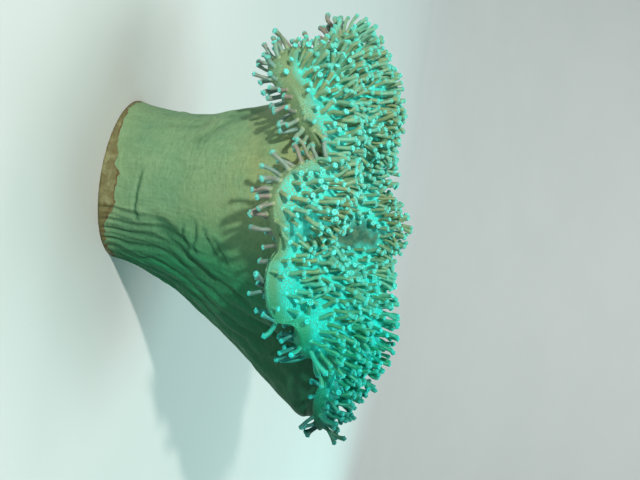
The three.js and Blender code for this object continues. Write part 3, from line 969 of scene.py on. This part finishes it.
# Along the outline: how much wider than the least spacing the polyps stand, and
# their length as a share of the full one.
SPACING_PLACES = [0, 2, 3, 8.2, 8.7, 9.3, 9.9]
SPACING_SHARES = [1.8, 1.35, 1, 1.05, 1.1, 1.12, 1.4]
LENGTH_PLACES = [0, 2, 4, 6, 8.2, 8.6, 9.2, 9.9]
LENGTH_SHARES = [0.7, 0.85, 1, 1.05, 1, 0.8, 0.75, 0.6]

# Patches of looser and closer polyps: their width, and how much each kind changes
# the spacing.
PATCH_WIDTH = 11
LOOSER, LOOSER_BAND = 0.45, (0.1, 0.75)
CLOSER, CLOSER_BAND = 0.08, (0, -0.6)
# From the first to the second of these distances along +X the coat turns to that of
# the long lobe, where the polyps stand wider and in looser patches.
LONG_LOBE_BAND = (25, 55)
LONG_LOBE_WIDER, LONG_LOBE_LOOSER = 0.2, 0.3

# On the margin's face, towards the front, they stand wider and are shorter by these
# shares. Each pair of rows is where along the outline such a change starts and is full.
FACING_BAND, MARGIN_ROWS = (0.35, 0.85), (8.6, 8.1)
MARGIN_WIDER = 0.75
MARGIN_SHORTER = 0.6
LIP_SHORTER, LIP_ROWS = 0.35, (7.0, 6.0)
LEAST_LENGTH = 3.4
# At the crown's two ends they are longer by this share.
ENDS_LONGER, ENDS_ROWS = 0.45, (5.5, 7.0)
# The row from which only the polyps that face the front or hang are shortened.
UNDER_ROW = 8.2
LENGTH_SPREAD = (0.76, 1.24)
SHY_SHARE, SHY_LENGTH = 0.04, 0.5

# Polyps hang where the skin faces down, and fan out at the ends from these rows on.
HANG_BAND, FAN_ROWS, FAN_FLATTER = (-0.05, -0.6), (4.0, 6.0), 0.8
# The least room for a polyp's height, as a share of the coat's depth.
LEAST_ROOM = 0.6
# What a polyp's first heading and its curl are made of, beside the skin's normal.
SWAY_WIDTH, CLUMP_WIDTH = 30, 11
HEADING = {"fan": 0.7, "lift": 0.5, "droop": 0.2, "sway": 0.3, "clump": 0.2, "jitter": 0.13}
CURL = {"outward": 0.15, "hang_out": 0.2, "hang_down": 0.25, "sway": 0.5, "clump": 0.5,
        "jitter": 0.42, "fan": 0.5}
CURL_SHARE = 0.5

STEM_SIDES = 8
STEM_PLACES = np.array([0, 0.07, 0.22, 0.4, 0.58, 0.75, 0.87, 0.94, 1.0])
STEM_WIDTHS = np.array([1.5, 1.14, 0.98, 0.93, 0.94, 1.0, 1.12, 1.22, 1.08])
STEM_SPREAD = (0.84, 1.12)
STEM_WAVE = 0.055
ROOT_DEPTH = 0.5
TENTACLES = 8
TENTACLE_SIDES = 4
# How many radii of the stem: a tentacle's half widths, and how far out it stands.
TENTACLE_WIDTHS = (0.38, 0.42, 0.34)
TENTACLE_RING, HEAD_RISE = 0.92, 0.9
# A tentacle's length when folded and what opening adds, then its bends: the height as
# a share of that length, and how far outward when folded and by how much more when open.
TENTACLE_REACH = (0.85, 0.5)
TENTACLE_BENDS = [(0.5, 0.04, 0.55), (0.9, -0.5, 1.6), (0.96, -0.85, 2.3)]
SHY_OPEN, OPEN_SPREAD = 0.05, (0.7, 7.0)
# Where the coat's colours change: along a stem up to its head, then up a tentacle.
STEM_END, HEAD_TOP = 0.9, 0.86
TENTACLE_ALONG = [0.9, 0.95, 0.99, 1.0]


def scatter(sizes):
    """Roots of the polyps: spread over the crown, no two nearer than the spacing."""
    points, normals, masks, turn = flesh()
    run = strip_runs(points)
    reach = run / run.max()
    rng = np.random.default_rng(SEED)
    row = masks["row"]
    a, b, c = points[:, :-1], points[:, 1:], np.roll(points, -1, axis=0)[:, :-1]
    area = np.linalg.norm(np.cross(b - a, c - a), axis=-1)
    area = np.where(row[:, :-1] < COAT_LAST_ROW, area, 0).ravel()
    pick = rng.choice(area.size, CANDIDATES, p=area / area.sum())
    i, j = np.divmod(pick, row.shape[1] - 1)
    u, v = rng.random(CANDIDATES)[:, None], rng.random(CANDIDATES)[:, None]
    here = a[i, j] + u * (b[i, j] - a[i, j]) + v * (c[i, j] - a[i, j])
    place_row = row[i, j] + u[:, 0] * (row[i, j + 1] - row[i, j])

    facing = smooth_step(*FACING_BAND, -normals[i, j][:, 1])
    least = BARE_LEAST * facing
    lip = masks["lip"][i, j] * smooth_step(*MARGIN_ROWS, place_row)
    lip = lip * (least + (1 - least) * bare_margin(turn[i, j]))
    share = np.interp(place_row, SPACING_PLACES, SPACING_SHARES) + MARGIN_WIDER * lip
    patches = lattice_noise(here / PATCH_WIDTH, SEED + 30)
    long_lobe = smooth_step(*LONG_LOBE_BAND, here[:, 0])
    looser = (LOOSER + LONG_LOBE_LOOSER * long_lobe) * smooth_step(*LOOSER_BAND, patches)
    closer = CLOSER * smooth_step(*CLOSER_BAND, patches)
    share = share * (1 + LONG_LOBE_WIDER * long_lobe + looser - closer)
    spacing = sizes.polyp_spacing / MM * share

    cell = spacing.max()
    cells = np.floor(here / cell).astype(int)
    around = [(x, y, z) for x in (-1, 0, 1) for y in (-1, 0, 1) for z in (-1, 0, 1)]
    grid, kept = {}, []
    for n in np.flatnonzero(bare_share(here) <= 0.5):
        x, y, z = cells[n]
        rivals = [m for dx, dy, dz in around for m in grid.get((x + dx, y + dy, z + dz), ())]
        gaps = np.sum((here[rivals] - here[n]) ** 2, axis=-1) if rivals else np.ones(1)
        if not rivals or np.all(gaps > spacing[n] * spacing[rivals]):
            grid.setdefault((x, y, z), []).append(n)
            kept.append(n)
    kept = np.array(kept)
    i, j, root = i[kept], j[kept], here[kept]
    return {
        "root": root,
        "normal": normals[i, j],
        "row": place_row[kept],
        "rim": masks["rim"][i, j],
        "lip": lip[kept],
        "facing": facing[kept],
        "uv": skin_uv(turn[i, j], reach[i, j]),
        "theta": np.arctan2(root[:, 1], root[:, 0]),
        "rng": rng,
    }


def unit(vectors):
    return vectors / np.maximum(np.linalg.norm(vectors, axis=-1, keepdims=True), TINY)


def square_to(vectors, direction):
    """The vectors without their part along the direction."""
    return vectors - np.sum(vectors * direction, axis=-1, keepdims=True) * direction


def slow_vectors(root, width, seed):
    """A vector for each root that changes slowly from place to place."""
    return np.stack([lattice_noise(root / width, seed + k) for k in range(3)], axis=-1)


def polyp_lengths(found, sizes, ends, low):
    """Each polyp's length in mm before it is fitted to the coat, and which are shy."""
    rng, row = found["rng"], found["row"]
    share = np.interp(row, LENGTH_PLACES, LENGTH_SHARES)
    shorter = np.maximum(found["facing"], low)
    share = np.where(row > UNDER_ROW, 1 + (share - 1) * shorter, share)
    share = share - MARGIN_SHORTER * found["lip"]
    short = LIP_SHORTER * low_lip(found["theta"]) * smooth_step(*LIP_ROWS, row)
    length = sizes.polyp_length / MM * share * (1 - short)
    length = length * (1 + ENDS_LONGER * ends * smooth_step(*ENDS_ROWS, row))
    length = length * rng.uniform(*LENGTH_SPREAD, len(row))
    shy = rng.random(len(row)) < SHY_SHARE
    return np.maximum(np.where(shy, length * SHY_LENGTH, length), LEAST_LENGTH), shy


def polyp_lines(found, sizes):
    """Heading, length and curl of each polyp, whether it is shy, and how far it hangs."""
    rng, root, normal, row = found["rng"], found["root"], found["normal"], found["row"]
    outward = unit(np.stack([root[:, 0], root[:, 1], 0 * root[:, 0]], axis=-1))
    up = np.array([0.0, 0.0, 1.0])
    low = smooth_step(*HANG_BAND, normal[:, 2])[:, None]
    sway = slow_vectors(root, SWAY_WIDTH, SEED + 20)
    clump = slow_vectors(root, CLUMP_WIDTH, SEED + 24)
    ends = normal[:, :1] ** 2
    fan = (outward[:, :1] ** 2) * smooth_step(*FAN_ROWS, row)[:, None] * (1 - low)
    lift = (1 - low) * np.clip(1.1 - 1.4 * ends, 0.08, 1) * (1 - FAN_FLATTER * fan)
    start = normal + HEADING["fan"] * fan * outward
    start = start + (HEADING["lift"] * lift - HEADING["droop"] * low) * up
    start = start + HEADING["sway"] * sway + HEADING["clump"] * clump
    start = unit(start + rng.normal(0, HEADING["jitter"], root.shape))
    bend = (lift - CURL["hang_down"] * low + CURL["fan"] * fan) * up
    bend = bend + (CURL["outward"] + CURL["hang_out"] * low) * outward
    bend = bend + CURL["sway"] * sway + CURL["clump"] * clump
    bend = square_to(bend + rng.normal(0, CURL["jitter"], root.shape), start)
    length, shy = polyp_lengths(found, sizes, ends[:, 0], low[:, 0])

    # The end of each stem is held inside the coat's depth and inside the model's box.
    heading = start + CURL_SHARE * bend
    deep = length * np.sum(heading * normal, axis=-1)
    room = COAT_DEPTH * np.interp(row, COAT_PLACES, COAT_SHARES) - COAT_MARGIN
    room = np.maximum(room, LEAST_ROOM * COAT_DEPTH)
    length = length * np.minimum(1, room / np.maximum(deep, 0.1))
    lowest, highest = (np.array(corner) / MM for corner in CAD_BOX)
    free = np.where(heading > 0, highest - HEAD_ROOM - root, root - lowest - HEAD_ROOM)
    length = np.minimum(length, np.min(free / np.maximum(np.abs(heading), 0.01), axis=-1))
    return start, length, CURL_SHARE * length[:, None] * bend, shy, low[:, 0]


def tube_faces(first, sides, rings, tip):
    """Faces of a tube from its first ring's first vertex, closed at a tip vertex."""
    faces = []
    last = first + (rings - 1) * sides
    for n in range(sides):
        m = (n + 1) % sides
        for ring in range(first, last, sides):
            faces.append((ring + n, ring + m, ring + sides + m, ring + sides + n))
        faces.append((last + n, last + m, tip))
    return faces


def polyp_shapes(found, sizes):
    """Vertices, faces, place along the polyp and patch place for each polyp."""
    rng, root, normal = found["rng"], found["root"], found["normal"]
    count = len(root)
    start, length, curl, shy, low = polyp_lines(found, sizes)
    width = sizes.polyp_radius / MM * rng.uniform(*STEM_SPREAD, count)
    aside = unit(np.cross(start, unit(rng.normal(0, 1, (count, 3)))))
    wave = square_to(rng.normal(0, STEM_WAVE, (count, 3)) * length[:, None], start)
    s = STEM_PLACES[:, None]
    centre = (root - ROOT_DEPTH * normal)[:, None] + (start * length[:, None])[:, None] * s
    centre = centre + curl[:, None] * s**2 + wave[:, None] * (np.sin(TURN * s) * s)
    slope = np.sin(TURN * s) + TURN * s * np.cos(TURN * s)
    tangent = (start * length[:, None])[:, None] + 2 * curl[:, None] * s + wave[:, None] * slope
    tangent = unit(tangent)
    across = unit(square_to(aside[:, None], tangent))
    other = np.cross(tangent, across)
    spin = (np.arange(STEM_SIDES) * TURN / STEM_SIDES)[:, None]
    ring = across[:, :, None] * np.cos(spin) + other[:, :, None] * np.sin(spin)
    stem = centre[:, :, None] + ring * (width[:, None] * STEM_WIDTHS)[..., None, None]
    top = centre[:, -1] + tangent[:, -1] * HEAD_RISE * width[:, None]

    # Eight blunt tentacles stand round the head, folded in or spread.
    opened = np.where(shy, SHY_OPEN, rng.beta(*OPEN_SPREAD, count))[:, None, None]
    folded, more = TENTACLE_REACH
    reach = sizes.tentacle_length / MM * (folded + more * opened)
    turn = np.arange(TENTACLES) * TURN / TENTACLES + rng.uniform(0, TURN, count)[:, None]
    turn = turn[..., None]
    ray = across[:, -1, None] * np.cos(turn) + other[:, -1, None] * np.sin(turn)
    side = np.cross(tangent[:, -1, None], ray)
    rise = tangent[:, -1, None] * reach
    wide = width[:, None, None]
    bends = [centre[:, -2, None] + ray * TENTACLE_RING * wide]
    for up, folded, more in TENTACLE_BENDS:
        bends.append(bends[0] + rise * up + ray * (folded + more * opened) * wide)
    arms = [bend + way * size * wide for bend, size in zip(bends, TENTACLE_WIDTHS)
            for way in (ray, side, -ray, -side)]
    arms = np.stack([*arms, bends[-1]], axis=2)
    parts = [stem.reshape(count, -1, 3), top[:, None], arms.reshape(count, -1, 3)]

    rings, levels = len(STEM_PLACES), len(TENTACLE_WIDTHS)
    stem_top = rings * STEM_SIDES
    faces = tube_faces(0, STEM_SIDES, rings, stem_top)
    size = levels * TENTACLE_SIDES + 1
    for first in range(stem_top + 1, stem_top + 1 + TENTACLES * size, size):
        faces += tube_faces(first, TENTACLE_SIDES, levels, first + size - 1)
    arm_along = np.repeat(TENTACLE_ALONG, [TENTACLE_SIDES] * levels + [1])
    along = np.concatenate([np.repeat(STEM_PLACES * STEM_END, STEM_SIDES), [HEAD_TOP],
                            np.tile(arm_along, TENTACLES)])
    turned = np.concatenate([np.tile(np.arange(STEM_SIDES) / STEM_SIDES, rings), [0.5],
                             np.repeat(np.arange(TENTACLES) / TENTACLES, size)])
    spots = np.stack([turned, along], axis=-1) * PATCH - PATCH / 2
    return np.concatenate(parts, axis=1), faces, along, spots, low


def sector(found):
    """The lobe that each root stands on, and -1 in the crown's middle."""
    index, _, _ = place(found["theta"] % TURN)
    root = found["root"]
    return np.where(np.hypot(root[:, 0], root[:, 1]) < MIDDLE_RADIUS, -1, index)


class CORAL_OT_polyps(bpy.types.Operator):
    """Cover the crown with open polyps, one piece for each lobe"""

    bl_idname = "coral.polyps"
    bl_label = "Polyps"

    def execute(self, context):
        sizes = context.scene.coral_sizes
        found = scatter(sizes)
        verts, faces, along, spots, low = polyp_shapes(found, sizes)
        lobe = sector(found)
        picks = found["rng"].random(len(lobe))
        material = polyp_material(context.scene.coral_colours)
        each = verts.shape[1]
        pattern = [np.array(face) for face in faces]
        corners = np.concatenate(pattern)
        for index in range(-1, len(LOBES)):
            chosen = np.flatnonzero(lobe == index)
            if not len(chosen):
                raise RuntimeError("a lobe has no polyps")
            name = "polyps_middle" if index < 0 else "polyps_" + LOBES[index].name
            joined = [(face + k * each).tolist() for k in range(len(chosen)) for face in pattern]
            piece = mesh_object(name, verts[chosen].reshape(-1, 3) * MM, joined)
            store(piece, "along", np.tile(along, len(chosen)))
            for label, values in (("pick", picks), ("low", low), ("rim", found["rim"])):
                store(piece, label, np.repeat(values[chosen], each))
            layer = piece.data.uv_layers.new(name="OFBake")
            uv = found["uv"][chosen][:, None] + spots[corners][None]
            layer.data.foreach_set("uv", np.ascontiguousarray(uv.reshape(-1), np.float32))
            piece.data.materials.append(material)
            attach(piece, BODY)
        print("polyps:", len(lobe), "faces each:", len(faces))
        return {"FINISHED"}


# ---------------------------------------------------------------- the stage

# The camera, in mm: what it is aimed at, from how far, how high it looks from and
# how far it leans, and where in the picture the aim lies.
AIM = np.array([8.0, 0.0, 78.0])
CAMERA_DISTANCE = 480.0
CAMERA_RISE = math.radians(10)
CAMERA_LEAN = math.radians(10)
SENSOR = 36.0
PICTURE = (640, 480)
WIDTH_SHOWN = 320.0
AIM_PIXEL = (272.0, 219.0)

# The stage, in metres: half its width, where it starts, where its back begins to
# curve up and how widely, and how high it goes.
STAGE_HALF, STAGE_START, STAGE_BACK, STAGE_RADIUS, STAGE_TOP = 4.0, -3.0, 1.4, 1.2, 4.0
STAGE_STEPS = 24
FLOOR_PALE = (0.7, 0.7, 0.7)

WORLD_COLOUR, WORLD_STRENGTH = (0.62, 0.95, 0.92, 1), 0.2
CORAL_MIDDLE = (0.0, 0.0, 0.09)
# Each light: name, place, what it is aimed at, size, power in watts and colour.
LIGHTS = [
    ("key", (-0.45, -1.1, 0.66), CORAL_MIDDLE, 0.05, 20.0, (1.0, 0.97, 0.9)),
    ("fill", (0.35, -1.25, 0.5), CORAL_MIDDLE, 0.6, 2.0, (0.7, 1.0, 0.97)),
    ("sky", (0.1, -0.1, 1.5), CORAL_MIDDLE, 0.7, 6.5, (0.6, 1.0, 0.95)),
    ("rim", (0.6, 1.0, 0.7), CORAL_MIDDLE, 0.7, 5.0, (0.5, 1.0, 0.95)),
    ("backdrop", (0.0, 1.1, 2.4), (0.0, 2.5, 0.7), 1.5, 34.0, (1.0, 1.0, 1.0)),
]


def camera_matrix():
    """The camera looks along +Y and lies on its side, so that the coral's top points right."""
    forward = np.array([0, math.cos(CAMERA_RISE), -math.sin(CAMERA_RISE)])
    level = np.array([1.0, 0, 0])
    lift = np.array([0, math.sin(CAMERA_RISE), math.cos(CAMERA_RISE)])
    right = -math.sin(CAMERA_LEAN) * level + math.cos(CAMERA_LEAN) * lift
    above = -(math.cos(CAMERA_LEAN) * level + math.sin(CAMERA_LEAN) * lift)
    pixel = WIDTH_SHOWN / PICTURE[0]
    aside, down = (at - size / 2 for at, size in zip(AIM_PIXEL, PICTURE))
    spot = AIM - forward * CAMERA_DISTANCE - right * aside * pixel + above * down * pixel
    matrix = np.eye(4)
    for column, vector in enumerate((right, above, -forward, spot * MM)):
        matrix[:3, column] = vector
    return Matrix(matrix.tolist())


def area_light(name, spot, target, size, power, colour):
    light = bpy.data.lights.new(name, "AREA")
    light.size, light.energy, light.color = size, power, colour
    lamp = bpy.data.objects.new(name, light)
    bpy.context.scene.collection.objects.link(lamp)
    lamp.location = spot
    lamp.rotation_mode = "QUATERNION"
    lamp.rotation_quaternion = (Vector(target) - Vector(spot)).to_track_quat("-Z", "Y")


class CORAL_OT_stage(bpy.types.Operator):
    """Add the pale floor with its curved back, the soft lights and the camera"""

    bl_idname = "coral.stage"
    bl_label = "Stage"

    def execute(self, context):
        scene = context.scene
        profile = [(STAGE_START, 0.0)]
        for angle in np.linspace(0, math.pi / 2, STAGE_STEPS + 1):
            profile.append((STAGE_BACK + STAGE_RADIUS * math.sin(angle),
                            STAGE_RADIUS * (1 - math.cos(angle))))
        profile.append((STAGE_BACK + STAGE_RADIUS, STAGE_TOP))
        verts = np.array([(x, y, z) for y, z in profile for x in (-STAGE_HALF, STAGE_HALF)])
        faces = [(2 * k, 2 * k + 1, 2 * k + 3, 2 * k + 2) for k in range(len(profile) - 1)]
        floor = mesh_object("stage_floor", verts, faces)
        material, tree, shader = new_material("stage_floor", {"Roughness": 0.85})
        grain = ramp(tree, noise(tree, object_place(tree), 6.0, 3.0), 0.3, 0.7, 0.0, 0.12)
        colour = blend(tree, grain, scene.coral_colours.floor, FLOOR_PALE)
        tree.links.new(colour, shader.inputs["Base Color"])
        floor.data.materials.append(material)

        world = bpy.data.worlds.new("studio")
        scene.world = world
        world.use_nodes = True
        background = world.node_tree.nodes["Background"]
        background.inputs["Color"].default_value = WORLD_COLOUR
        background.inputs["Strength"].default_value = WORLD_STRENGTH
        for light in LIGHTS:
            area_light(*light)
        scene.view_settings.view_transform = "Standard"

        lens = bpy.data.cameras.new("camera")
        lens.sensor_width = SENSOR
        lens.lens = SENSOR * CAMERA_DISTANCE / WIDTH_SHOWN
        lens.clip_start = 0.01
        camera = bpy.data.objects.new("camera", lens)
        scene.collection.objects.link(camera)
        camera.matrix_world = camera_matrix()
        scene.camera = camera
        return {"FINISHED"}


class CORAL_PT_panel(bpy.types.Panel):
    """The coral's sizes, colours and making steps"""

    bl_idname = "CORAL_PT_panel"
    bl_label = "Leather Coral"
    bl_space_type = "VIEW_3D"
    bl_region_type = "UI"
    bl_category = "Coral"

    def draw(self, context):
        layout = self.layout
        for group in (context.scene.coral_sizes, context.scene.coral_colours):
            box = layout.box()
            for name in group.__annotations__:
                box.prop(group, name)
        for operator in (CORAL_OT_skin, CORAL_OT_polyps, CORAL_OT_stage):
            layout.operator(operator.bl_idname)


CLASSES = (CoralSizes, CoralColours, CORAL_OT_skin, CORAL_OT_polyps, CORAL_OT_stage, CORAL_PT_panel)


def register():
    for cls in CLASSES:
        bpy.utils.register_class(cls)
    bpy.types.Scene.coral_sizes = PointerProperty(type=CoralSizes)
    bpy.types.Scene.coral_colours = PointerProperty(type=CoralColours)


def unregister():
    del bpy.types.Scene.coral_sizes
    del bpy.types.Scene.coral_colours
    for cls in reversed(CLASSES):
        bpy.utils.unregister_class(cls)


def main():
    register()
    bpy.ops.coral.skin()
    bpy.ops.coral.polyps()
    bpy.ops.coral.stage()


if __name__ == "__main__":
    main()
